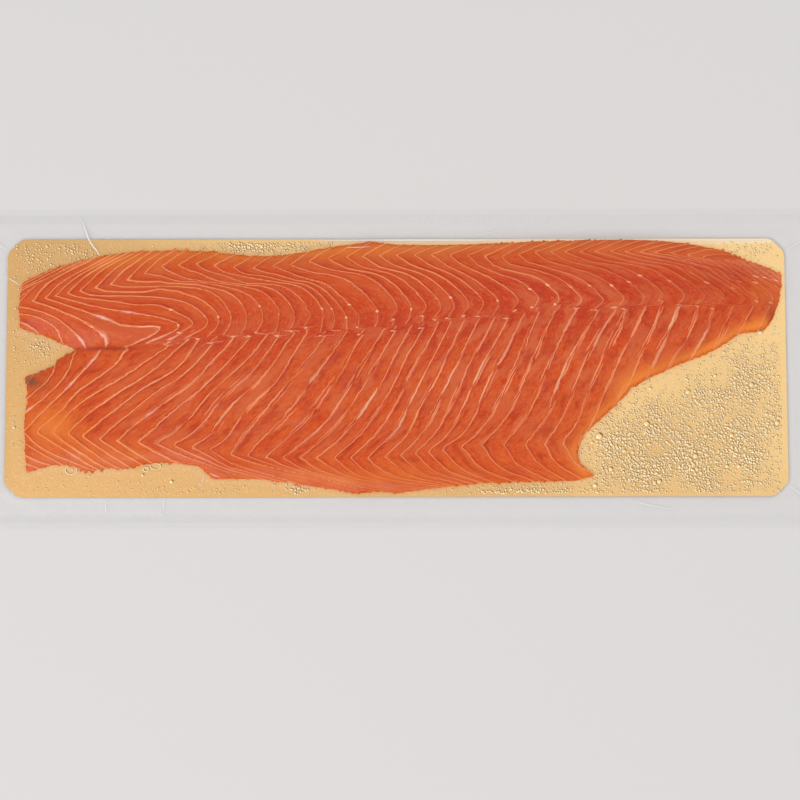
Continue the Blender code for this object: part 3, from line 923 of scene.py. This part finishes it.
def flesh_material():
    made, tree, shader = new_material("smoked_flesh")
    where = object_places(tree)
    along = divided(tree, node(tree, "ShaderNodeSeparateXYZ", {0: where}).outputs[1], MM)
    wobble = minus(tree, cloud(tree, where, 110, 2), 0.5)
    tremble = minus(tree, cloud(tree, where, 270, 2), 0.5)
    mottled = cloud(tree, where, 48, 3)
    shown = ("boldness", "streaky", "knotted", "pink")
    bold, streaky, knotted, pink = (attribute(tree, name) for name in shown)

    # Each fat line wavers a little, and hooks and breaks where it meets the seam.
    lines = times(tree, wobble, 0.12, plus=attribute(tree, "line_number"))
    lines = times(tree, tremble, 0.15, plus=lines)
    index = nearest_line(tree, lines)
    own = node(tree, "ShaderNodeTexWhiteNoise", {"W": index}, noise_dimensions="1D").outputs["Color"]
    chance = node(tree, "ShaderNodeSeparateColor", {"Color": own}).outputs
    off_seam = times(tree, wobble, 3.0, plus=attribute(tree, "off_seam"))
    off_seam = times(tree, minus(tree, chance[0], 0.5), times(tree, knotted, 11.0), plus=off_seam)
    in_back = maths(tree, "GREATER_THAN", off_seam, 0.0)
    hooked = times(tree, in_back, spread(tree, off_seam, 0.0, 8.0, 0.2, 0.0))
    lines = times(tree, hooked, knotted, plus=lines)
    broken = times(tree, near_zero(tree, off_seam, 0.6, 2.0, 0.6), knotted)

    # Three sets of strokes along the lines: a fine thread, broad pale ones where the knife met the
    # sheet of fat flat, and stray ones beside them.
    stroke = stroke_group()
    loose = spread(tree, streaky, 0.15, 0.6)
    line = {"Number": lines, "Pitch": attribute(tree, "line_pitch"), "Along": along}
    thread, flat_cut, stray = (
        node(tree, "ShaderNodeGroup", {**line, **own_way}, node_tree=stroke).outputs
        for own_way in (
            {"Length": 25.0, "Shift": times(tree, loose, 0.34), "Ends": loose,
             "Thin": spread(tree, bold, 0.3, 1.0, 0.18, 0.4),
             "Thick": spread(tree, bold, 0.3, 1.0, 0.4, 0.85), "Softness": 0.26, "Seed": 1.0},
            {"Length": 29.0, "Shift": 0.26, "Ends": 1.0, "Thin": 0.3, "Thick": 1.0, "Softness": 0.35,
             "Seed": 5.0},
            {"Length": 21.0, "Shift": 0.5, "Ends": 1.0, "Thin": 0.2, "Thick": 0.55, "Softness": 0.3,
             "Seed": 9.0},
        )
    )
    side = thread["Side"]

    # Muscle between the lines: bands that follow the lines, from red to orange and pink, darker just
    # before each line, with painted shade just behind each line and a painted lit side before the
    # next, as on a slope, and with fibres, flakes and patches that run with the lines.
    banded = cloud(tree, along_lines(tree, lines, along, 1.0, 26.0), 1.3, 2, 0.6)
    blend = maths(tree, "ADD", times(tree, banded, 1.2), times(tree, mottled, 0.8))
    between = maths(tree, "FRACT", lines)
    # Painted light on each band: a painted lit side before the next line, and painted shade just behind
    # each line.
    painted_lit_side = times(tree, spread(tree, between, 0.45, 0.95), spread(tree, banded, 0.3, 0.7))
    painted_shade_behind = times(tree, spread(tree, side, 0.1, 0.7), spread(tree, side, 0.9, 3.4, 1.0, 0.0))
    before = times(tree, spread(tree, side, -1.5, -0.8), spread(tree, side, -0.5, -0.2, 0.4, 0.0))
    fibres = cloud(tree, stretched(tree, where, (160, 900, 600)), 1, 3, 0.6)
    flaky = cloud(tree, along_lines(tree, lines, along, 8.0, 3.5), 1.0, 3, 0.65)
    patchy = cloud(tree, along_lines(tree, lines, along, 2.2, 11.0), 1.0, 4, 0.6)
    in_belly = spread(tree, attribute(tree, "off_seam"), -6.0, 6.0, 1.0, 0.5)
    bloom = cloud(tree, along_lines(tree, lines, along, 1.0, 19.0, 7.0), 1.0, 4, 0.6)
    tone = tinted(tree, spread(tree, mottled, 0.35, 0.65), paint(203, 68, 11), paint(210, 84, 18))
    tone = coated(
        tree,
        tone,
        (times(tree, spread(tree, blend, 0.85, 1.15), pink), paint(199, 80, 42)),
        (attribute(tree, "loin"), paint(188, 45, 14)),
        # Painted lit side, then painted shade just behind each line.
        (times(tree, painted_lit_side, 0.5), paint(216, 98, 36)),
        (times(tree, painted_shade_behind, spread(tree, banded, 0.35, 0.65, 0.35, 0.95)), paint(176, 40, 8)),
        (before, paint(178, 46, 10)),
        (spread(tree, fibres, 0.3, 0.7, 0.0, 0.25), paint(224, 106, 48)),
        (spread(tree, flaky, 0.5, 0.68, 0.0, 0.4), paint(230, 118, 64)),
        (spread(tree, flaky, 0.48, 0.3, 0.0, 0.4), paint(176, 48, 14)),
        (times(tree, spread(tree, patchy, 0.48, 0.66, 0.0, 0.7), in_belly), paint(176, 50, 14)),
        (times(tree, spread(tree, banded, 0.5, 0.66, 0.0, 0.75), pink), paint(184, 60, 34)),
        (times(tree, spread(tree, bloom, 0.46, 0.62, 0.0, 0.85), pink), paint(210, 106, 62)),
    )

    # The thin rim lets the gold show through, and the cut edge is frayed and orange.
    depth = attribute(tree, "depth")
    thin = times(tree, attribute(tree, "thin_rim"), spread(tree, mottled, 0.25, 0.6, 0.6, 1.0))
    specks = spread(tree, cloud(tree, where, 560, 2), 0.5, 0.64, 0.0, 0.6)
    tone = coated(
        tree,
        tone,
        (thin, paint(236, 133, 50)),
        (spread(tree, depth, 0.0, 3.4, 0.7, 0.0), paint(220, 98, 14)),
        (times(tree, specks, spread(tree, depth, 0.3, 2.6, 1.0, 0.0)), paint(160, 62, 16)),
    )

    # The fat: the three sets of strokes, and a painted sheen along a few of its lines.
    fine = times(tree, thread["Stroke"], spread(tree, tremble, -0.25, 0.1, 0.6, 1.0))
    fine = times(tree, times(tree, fine, bold), minus(tree, 1.0, broken))
    stray_line = times(tree, stray["Stroke"], spread(tree, stray["Chance"], 0.3, 0.7, 0.2, 1.0))
    stray_line = times(tree, stray_line, spread(tree, streaky, 0.2, 0.7, 0.05, 0.8))
    broad = times(tree, flat_cut["Stroke"], spread(tree, flat_cut["Chance"], 0.0, 0.3, 0.7, 1.0))
    broad = times(tree, broad, streaky)
    # Painted sheen: a whitish lilac gleam laid on a few fat lines, as of light glancing off the wet fat.
    painted_sheen = times(tree, attribute(tree, "painted_sheen"), near_zero(tree, side, 0.3, 1.7))
    painted_sheen = times(tree, painted_sheen, spread(tree, tremble, -0.2, 0.1, 0.4, 0.9))
    fat = tinted(tree, pink, paint(246, 156, 88), paint(250, 174, 136))
    palest = spread(tree, flat_cut["Chance"], 0.5, 1.0)
    pale_fat = tinted(tree, palest, paint(242, 150, 106), paint(234, 174, 136))
    tone = coated(
        tree,
        tone,
        (fine, fat),
        (stray_line, paint(242, 146, 104)),
        (broad, pale_fat),
        (painted_sheen, paint(242, 188, 168)),
    )

    # The seam: painted shade along it, as in a groove, a pale knot where each fat line meets it, each at a
    # height of its own, joined by a fine line towards the tail, and a row of bright dots where the back's
    # lines give out. Then painted shade in the crease at the tail, a darker spot in the head end, the
    # smudge on the tail's cut, and the knife marks on the nape.
    # Painted shade: a dark line just above the seam, as in a groove.
    seam_painted_shade = near_zero(tree, minus(tree, off_seam, 1.0), 0.3, 1.3)
    seam_painted_shade = times(tree, seam_painted_shade, spread(tree, mottled, 0.45, 0.6, 0.0, 0.4))
    slope = times(tree, minus(tree, chance[1], 0.5), side)
    knot = near_zero(tree, times(tree, slope, 1.5, plus=off_seam), 0.3, 0.9)
    knot = times(tree, knot, near_zero(tree, maths(tree, "ADD", side, 0.9), 0.2, 1.5))
    knot = times(tree, knot, knotted)
    joined = times(tree, near_zero(tree, off_seam, 0.1, 0.7), attribute(tree, "joined"))
    joined = times(tree, joined, spread(tree, cloud(tree, where, 60, 2), 0.42, 0.56, 0.1, 0.6))
    dot_off = times(tree, chance[2], 7.0, plus=minus(tree, off_seam, 21.0))
    dot_away = node(tree, "ShaderNodeVectorMath", {0: place_at(tree, dot_off, side)}, operation="LENGTH")
    dot = spread(tree, dot_away.outputs["Value"], 0.4, 1.2, 1.0, 0.0)
    dot = times(tree, dot, spread(tree, chance[1], 0.1, 0.7))
    marks = maths(tree, "MAXIMUM", maths(tree, "MAXIMUM", times(tree, knot, 0.9), joined), dot)
    saw = divided(tree, times(tree, wobble, 3.0, plus=attribute(tree, "cut_run")), CUT_PITCH)
    cut = spread(tree, maths(tree, "FRACT", saw), 0.6, 0.9)
    cut = times(tree, cut, attribute(tree, "nape_cuts"))
    tone = coated(
        tree,
        tone,
        # Painted shade just above the seam.
        (times(tree, seam_painted_shade, knotted), paint(160, 40, 14)),
        (marks, paint(250, 182, 142)),
        # Painted shade in the tail's crease, and a darker spot in the head end.
        (times(tree, attribute(tree, "crease_and_painted_shade"), 0.75), paint(150, 36, 12)),
        (attribute(tree, "smudge"), paint(124, 76, 50)),
        (times(tree, cut, 0.75), paint(156, 44, 12)),
    )

    grain = bump(tree, fibres, 0.4 * MM, 0.25)
    feed(shader, {
        "Base Color": tone,
        "Roughness": spread(tree, fibres, 0.3, 0.7, 0.36, 0.5),
        "IOR": WET_IOR,
        "Normal": bump(tree, maths(tree, "MAXIMUM", fine, broad), 0.3 * MM, 0.35, grain),
    })
    return made


flesh.data.materials.append(flesh_material())
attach(flesh, "root")
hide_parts("salmon_side")

# ---------------------------------------------------------------------------------------------
# Moisture: beads of it stand on the foil under the film, thickest in front of the collar cut, and
# a few bubbles of air are left beside the belly. They are domes in the colour of the foil, with
# painted light: a painted bright side and highlight towards belly and tail, and painted shade
# towards back and head, as the drops would bend the light.

# The beads' pitch, sizes and gap are in millimetres, and their rise is a share of their size.
BEAD_PITCH = 1.75
BEAD_SIZES = (0.46, 1.1)
BEAD_GAP = 0.9
BEAD_RISE = 0.6
LARGE_RISE = 0.45
BUBBLE_RIM = 0.6 * MM
# Which way the painted light side of each bead faces: towards tail and belly.
PAINTED_LIGHT_SIDE = (-0.7, -0.7, 0.0)
# Where the foil is wet, as (x, y, reach in x, reach in y, more) in millimetres.
WET = [(215, -75, 60, 28, 1.1), (260, -40, 60, 45, 0.8), (175, -55, 30, 30, 0.6), (275, 0, 22, 26, 0.45),
       (-105, 94, 42, 6, 1.0), (-75, -95, 8, 4, 1.2), (100, -97, 50, 5, 0.9), (-265, 88, 40, 14, 0.5),
       (272, 93, 20, 8, 0.5), (-275, 14, 18, 7, 0.55), (-297, 20, 4, 50, 0.5), (-160, -95, 60, 5, 0.15)]
# Single larger beads, as (x, y, size), and bubbles, as (x, y, reach in x, reach in y).
LARGE_BEADS = [(155.5, -53.5, 2.8), (192, -44, 2.3), (202, -41, 1.6), (174.5, -65, 1.7), (181, -66, 1.5),
               (164, -79, 1.9), (201, -88.5, 2.0), (229, -69, 2.1), (230, -79, 1.6), (224, -19.5, 2.0),
               (252, 11, 1.4), (257, -53, 1.9), (253, -77, 1.7), (262, -77, 1.7), (292, -43.5, 2.0),
               (273, -14, 2.0), (245, -7, 1.5), (237, -53.5, 1.6), (169.5, -51, 1.3), (150, -58.5, 1.4),
               (152, -91.5, 1.8), (280.5, 26.5, 1.8), (195, -17, 1.5), (229, -23, 1.4), (267, -63, 1.5),
               (284, -37, 1.5), (-293, -46, 1.2), (-172, -88, 1.5), (-194, -83, 1.2), (-188, 95, 1.0)]
AIR_BUBBLES = [(-248.5, -79, 4.4, 3.3), (-184, -76.2, 4.0, 2.2), (-191.5, -78.5, 2.0, 1.6)]


def dome(name, sides, rings, rise):
    """The upper half of a ball of radius 1 mm, flattened to this rise, resting at height 0."""
    bpy.ops.object.select_all(action="DESELECT")
    bpy.ops.mesh.primitive_uv_sphere_add(segments=sides, ring_count=rings, radius=MM)
    made = added(name)
    start_edit(made)
    bpy.ops.mesh.bisect(plane_co=(0, 0, 0), plane_no=(0, 0, 1), clear_inner=True, use_fill=True)
    bpy.ops.mesh.select_all(action="SELECT")
    bpy.ops.transform.resize(value=(1, 1, rise))
    end_edit()
    face_outwards(made)
    return made


def copies(pattern, name, spots):
    """One mesh of many copies of a piece, each at (x, y, z, size in x, size in y, turn)."""
    shape = places_of(pattern)
    faces = [list(face.vertices) for face in pattern.data.polygons]
    x, y, z, size_x, size_y, turn = np.array(spots, dtype=float).T[:, :, None]
    run, width = shape[:, 0] * size_x, shape[:, 1] * size_y
    placed_x = x + run * np.cos(turn) - width * np.sin(turn)
    placed_y = y + run * np.sin(turn) + width * np.cos(turn)
    placed_z = z + shape[:, 2] * np.minimum(size_x, size_y)
    all_places = np.stack([placed_x, placed_y, placed_z], axis=2).reshape(-1, 3)
    starts = np.repeat(np.arange(len(spots)) * len(shape), len(faces))
    all_faces = [[v + start for v in face] for start, face in zip(starts, faces * len(spots))]
    pattern.data.clear_geometry()
    pattern.data.from_pydata(all_places, [], all_faces)
    pattern.name = pattern.data.name = name
    pattern.data.shade_smooth()
    return pattern


def bead_spots():
    """Beads on an uneven lattice over the bare foil, kept where the foil is wet."""
    draw = np.random.default_rng(51)
    across, along = np.meshgrid(np.arange(-97, 97, BEAD_PITCH * 0.87), np.arange(-297, 297, BEAD_PITCH))
    x = (along + draw.uniform(-0.45, 0.45, along.shape) * BEAD_PITCH).ravel()
    y = (across + draw.uniform(-0.45, 0.45, along.shape) * BEAD_PITCH).ravel()
    wet = patches(x, y, 0.03, WET)
    wet *= 1.0 + 0.3 * uneven(x, y, 16, 53)
    kept = draw.uniform(0, 1, x.shape) < wet
    kept &= fish_outline.measure(np.stack([x, y], axis=1) * MM)[0] < -1.2 * MM
    kept &= (np.abs(x) < 295) & (np.abs(y) < 97.5)
    for bead_x, bead_y, size in LARGE_BEADS:
        kept &= np.hypot(x - bead_x, y - bead_y) > size + BEAD_GAP
    x, y = x[kept], y[kept]
    size = draw.uniform(*BEAD_SIZES, x.shape) * (0.75 + 0.35 * wet[kept])
    stretch = draw.uniform(0.85, 1.2, x.shape)
    turn = draw.uniform(0, math.pi, x.shape)
    level = np.full_like(x, BOARD_HIGH.z)
    return np.stack([x * MM, y * MM, level, size, size * stretch, turn], axis=1)


def bead_group():
    """The foil under a bead, in painted light: lighter than the bare foil, with painted shade on the side
    towards back and head and a painted highlight on the side towards belly and tail, set by which way
    the surface faces.
    """
    group, given = new_group(
        "bead_painted_light",
        {"Where": "Vector", "Facing": "Vector", "Dark": "Color"},
        {"Tone": "Color", "Roughness": "Float"},
    )
    tone = tinted(group, cloud(group, given["Where"], 400, 1), paint(250, 208, 142), paint(255, 227, 166))
    inputs = {0: given["Facing"], 1: PAINTED_LIGHT_SIDE}
    towards = node(group, "ShaderNodeVectorMath", inputs, operation="DOT_PRODUCT").outputs["Value"]
    # Painted shade on the side that faces away from the painted light side, and a painted highlight on the
    # side that faces it.
    tone = tinted(group, spread(group, towards, -0.12, -0.4, 0.0, 0.95), tone, given["Dark"])
    tone = tinted(group, spread(group, towards, 0.2, 0.45), tone, paint(255, 250, 224))
    gloss = spread(group, cloud(group, given["Where"], 700, 1), 0.3, 0.7, 0.3, 0.42)
    node(group, "NodeGroupOutput", {"Tone": tone, "Roughness": gloss})
    return group


def bead_material(name, painted_shade_colour):
    made, tree, shader = new_material(name)
    facing = node(tree, "ShaderNodeNewGeometry").outputs["Normal"]
    inputs = {"Where": object_places(tree), "Facing": facing, "Dark": painted_shade_colour}
    bead = node(tree, "ShaderNodeGroup", inputs, node_tree=bead_painted_light).outputs
    feed(shader, {
        "Base Color": bead["Tone"],
        "Metallic": 0.3,
        "Roughness": bead["Roughness"],
        "IOR": WET_IOR,
    })
    return made


def join(name, pieces):
    """Joins pieces into one of this name."""
    only(pieces[0])
    for piece in pieces[1:]:
        piece.select_set(True)
    bpy.ops.object.join()
    made = bpy.context.object
    made.name = made.data.name = name
    return made


def bubble_rims():
    """The rims of the air bubbles: rings of film drawn tight round a little air."""
    rims = []
    for bx, by, reach_x, reach_y in AIR_BUBBLES:
        bpy.ops.object.select_all(action="DESELECT")
        bpy.ops.mesh.primitive_torus_add(
            location=(bx * MM, by * MM, BOARD_HIGH.z + BUBBLE_RIM * 0.3),
            major_segments=48,
            minor_segments=8,
            major_radius=reach_x * MM,
            minor_radius=BUBBLE_RIM,
        )
        bpy.context.object.scale = (1, reach_y / reach_x, 1)
        rims.append(added("bubble_rim"))
    made = join("air_bubbles", rims)
    bpy.ops.object.shade_smooth()
    return made


bead_painted_light = bead_group()
wet_foil_painted_light = bead_material("wet_foil_painted_light", paint(152, 104, 48))
clear_drop_painted_light = bead_material("clear_drop_painted_light", paint(92, 56, 20))
fine_beads = copies(dome("fine_bead", 8, 4, BEAD_RISE), "moisture_beads", bead_spots())
large = [(x * MM, y * MM, BOARD_HIGH.z, size, size * 0.9, 0.6) for x, y, size in LARGE_BEADS]
large_beads = copies(dome("large_bead", 16, 10, LARGE_RISE), "large_beads", large)
# The bubble rims take the same painted shade and painted highlight as the large drops.
for beads, finish in ((fine_beads, wet_foil_painted_light), (large_beads, clear_drop_painted_light), (bubble_rims(), clear_drop_painted_light)):
    beads.data.materials.append(finish)
    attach(beads, "root")

# ---------------------------------------------------------------------------------------------
# The top film: the same film, pulled down by the vacuum over fish and board until it lies tight.
# It tents from the fish's rim to the foil and from the board's edge to the base film, and puckers
# along the margins. A ribbed weld joins it to the base film.

FILM_LOW, FILM_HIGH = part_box("film_top")
FILM_CLEARANCE = 0.22 * MM
WELD_LEVEL = 0.2 * MM
FOLD_LIFT = 0.05 * MM
DOWN = Vector((0, 0, -1))
# A place on the film and the places half a cell away on its four sides, in half cells.
AROUND = [(0, 0), (1, 0), (-1, 0), (0, 1), (0, -1)]

film_cad = merged_copy("film_top")
top_film = add_grid("pouch_top", FILM_LOW, FILM_HIGH, FILM_CELL)
round_corners(top_film, POUCH_CORNER)
laid_on(top_film, film_cad, WELD_LEVEL, 3, np.ones(len(top_film.data.vertices)))
remove(film_cad)

places = places_of(top_film)
x, y = places[:, 0] / MM, places[:, 1] / MM
beyond = np.maximum(np.abs(x) - BOARD_HIGH.x / MM, np.abs(y) - BOARD_HIGH.y / MM)
beside_board = np.abs(y) > BOARD_HIGH.y / MM
pucker = np.where(beside_board, uneven(x, y * 0.15, 11, 61), uneven(x * 0.15, y, 11, 62))
slack = eased(beyond, 1, 5) * (1 - eased(beyond, 11, 16))
places[:, 2] += (0.30 * pucker + 0.15) * slack * MM
places[:, 2] += (WELD_LEVEL - places[:, 2]) * eased(beyond, 9, 15)
places[:, 2] = np.maximum(places[:, 2], WELD_LEVEL)
for number in np.flatnonzero(beyond < 0):
    px, py, level = places[number]
    for across, along in AROUND:
        above = Vector((px + across * FILM_CELL / 2, py + along * FILM_CELL / 2, ABOVE_ALL))
        hit, point, _, _ = flesh.ray_cast(above, DOWN)
        level = max(level, (point.z if hit else BOARD_HIGH.z) + FILM_CLEARANCE)
    places[number, 2] = min(level, FILM_HIGH.z)
for bead_x, bead_y, size in LARGE_BEADS:
    near = np.hypot(x - bead_x, y - bead_y) * MM < size * MM + FILM_CELL
    places[near, 2] = np.maximum(places[near, 2], BOARD_HIGH.z + size * LARGE_RISE * MM + FILM_CLEARANCE)
move_to(top_film, places)
only(top_film)
bpy.ops.object.shade_smooth()


def film_level(x, y):
    """The height of the top film at a place."""
    return top_film.ray_cast(Vector((x, y, ABOVE_ALL)), DOWN)[1].z


# Folds that the vacuum pinches into the film, as (x, y) in millimetres along each, and its height.
FOLDS = [
    ([(-244, 118), (-240, 107), (-237, 98), (-231, 91), (-229, 87)], 0.62),
    ([(-301, 71), (-296, 68), (-290, 64)], 0.5),
    ([(-306, 66), (-318, 60), (-326, 58)], 0.4),
    ([(-146, -84), (-149, -88), (-150, -92)], 0.45),
    ([(-142, -82), (-139, -84), (-135, -85)], 0.4),
    ([(-222, -102), (-223, -108), (-221, -113)], 0.45),
    ([(-178, -102), (-177, -109), (-179, -115)], 0.45),
    ([(-60, 98.6), (-10, 98.9), (40, 98.8), (82, 98.6)], 0.55),
    ([(200, 98.4), (240, 98.8), (288, 98.6)], 0.5),
    ([(-38, 92.5), (-30, 92), (-20, 93)], 0.35),
    ([(60, 102), (74, 106), (92, 109)], 0.4),
    ([(180, -103), (196, -108), (215, -110)], 0.4),
    ([(301, 90), (310, 97), (320, 100)], 0.45),
    ([(301, -92), (309, -99), (318, -104)], 0.45),
    ([(-301, -92), (-310, -99), (-321, -103)], 0.45),
    ([(-301, 92), (-309, 98), (-318, 104)], 0.45),
]


def add_fold(points, height):
    """A pinched fold: a fine round ridge on the film that narrows to nothing at both ends."""
    curve = bpy.data.curves.new("fold", "CURVE")
    curve.dimensions = "3D"
    curve.bevel_depth = height * MM
    curve.bevel_resolution = 2
    curve.use_fill_caps = True
    spline = curve.splines.new("NURBS")
    spline.points.add(len(points) - 1)
    spline.order_u = 3
    spline.use_endpoint_u = True
    spline.resolution_u = 6
    for k, (point, (fx, fy)) in enumerate(zip(spline.points, points)):
        point.co = (fx * MM, fy * MM, film_level(fx * MM, fy * MM) + FOLD_LIFT, 1)
        point.radius = 0.25 if k in (0, len(points) - 1) else 1.0
    holder = bpy.data.objects.new("fold", curve)
    bpy.context.scene.collection.objects.link(holder)
    only(holder)
    bpy.ops.object.convert(target="MESH")
    return bpy.context.object


film_folds = join("film_folds", [add_fold(points, height) for points, height in FOLDS])
film_folds.data.materials.clear()
# The folds are real ridges on the film; their strong white haze is a painted highlight.
film_folds.data.materials.append(film_material("pinched_film_painted_highlight", 0.62, mirror=0.0))
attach(film_folds, "root")

pouch = join("pouch", [top_film, base_film])
select_rim(pouch)
bpy.ops.mesh.remove_doubles(threshold=0.2 * MM)
end_edit()
face_outwards(pouch)
bpy.ops.object.shade_smooth_by_angle(angle=math.radians(60))
pouch.data.materials.append(film_material("clear_film", 0.0))
pouch.data.materials.append(film_material("welded_film", 0.04, ribbed=True))
for face in pouch.data.polygons:
    face.material_index = int(in_weld(face.center))
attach(pouch, "root")
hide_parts("film_base", "film_top")

# ---------------------------------------------------------------------------------------------
# The floor, the light and the camera: a wide pale matt floor just under the pack, soft light from
# two large square boxes and from all round, and a camera that looks down from the belly's side.

FLOOR_SIZE = 6.0
FLOOR_GAP = 0.1 * MM
FLOOR_COLOUR = (0.68, 0.66, 0.652, 1)
# Each soft box as (name, place, size, watts), in metres.
SOFT_BOXES = [("window", (-1.5, -1.7, 2.5), 3.0, 51), ("right_fill", (2.2, 1.5, 1.8), 3.0, 18)]
ROOM_LIGHT = 0.72
CAMERA_DISTANCE = 2.011
CAMERA_TILT = math.radians(7.17)
CAMERA_ROLL = math.radians(-0.11)
CAMERA_LENS = 117.9
LOOKED_AT = Vector((2.35 * MM, -25.45 * MM, BOARD_HIGH.z))

bpy.ops.object.select_all(action="DESELECT")
bpy.ops.mesh.primitive_plane_add(size=FLOOR_SIZE, location=(0, 0, -FLOOR_GAP))
floor = added("floor")
pale_floor, _, pale_shader = new_material("pale_floor")
feed(pale_shader, {"Base Color": FLOOR_COLOUR, "Roughness": 0.9})
floor.data.materials.append(pale_floor)


def soft_light(name, place, size, watts):
    """A square soft box that faces the pack."""
    lamp = bpy.data.lights.new(name, "AREA")
    lamp.energy = watts
    lamp.size = size
    holder = bpy.data.objects.new(name, lamp)
    holder.location = place
    holder.rotation_euler = (-Vector(place)).to_track_quat("-Z", "Y").to_euler()
    bpy.context.scene.collection.objects.link(holder)


for soft_box in SOFT_BOXES:
    soft_light(*soft_box)
world = bpy.data.worlds.new("studio")
world.use_nodes = True
feed(world.node_tree.nodes["Background"], {"Color": (1, 1, 1, 1), "Strength": ROOM_LIGHT})
bpy.context.scene.world = world
bpy.context.scene.view_settings.view_transform = "Standard"

camera_data = bpy.data.cameras.new("camera")
camera_data.lens = CAMERA_LENS
camera_data.clip_start = 0.01
camera = bpy.data.objects.new("camera", camera_data)
back_off = Vector((0, -math.sin(CAMERA_TILT), math.cos(CAMERA_TILT))) * CAMERA_DISTANCE
camera.location = LOOKED_AT + back_off
camera.rotation_euler = (CAMERA_TILT, 0, CAMERA_ROLL)
bpy.context.scene.collection.objects.link(camera)
bpy.context.scene.camera = camera
